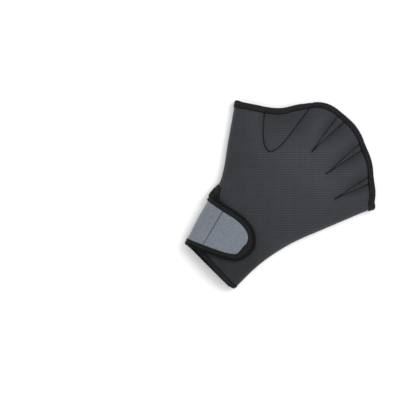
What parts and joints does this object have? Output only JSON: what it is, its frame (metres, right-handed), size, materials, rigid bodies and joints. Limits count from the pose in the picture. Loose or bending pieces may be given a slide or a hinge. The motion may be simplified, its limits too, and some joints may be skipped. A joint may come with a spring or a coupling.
{
  "type": "webbed swim glove",
  "caption": "Open-finger neoprene swim glove for a left hand, with sewn webs between the finger channels, bound edges and a closed wrist strap, lying palm up.",
  "frame": {"origin": "on the surface that the glove lies on, under the middle of its box", "axes": "+Z out of the palm, +Y from the wrist to the fingers, +X to the little finger"},
  "size_m": [0.1752, 0.204, 0.0249],
  "materials": {
    "palm_neoprene": "dark grey neoprene with a fine lattice of printed grip dots",
    "back_neoprene": "mid grey jersey-faced neoprene",
    "binding_tape": "black folded stretch tape with a zigzag stitch",
    "hook_and_loop": "black hook-and-loop"
  },
  "bodies": {
    "root": {"palm_panel": "palm_neoprene", "thumb_web_palm": "palm_neoprene", "index_web_palm": "palm_neoprene", "middle_web_palm": "palm_neoprene", "ring_web_palm": "palm_neoprene", "back_panel": "back_neoprene", "thumb_web_back": "back_neoprene", "index_web_back": "back_neoprene", "middle_web_back": "back_neoprene", "ring_web_back": "back_neoprene", "strap_tab": "back_neoprene", "finger_binding_palm": "binding_tape", "finger_binding_back": "binding_tape", "cuff_binding_palm": "binding_tape", "cuff_binding_back": "binding_tape", "slit_binding_palm": "binding_tape", "slit_binding_back": "binding_tape", "strap_binding": "binding_tape", "hook_patch": "hook_and_loop"}
  },
  "joints": []
}
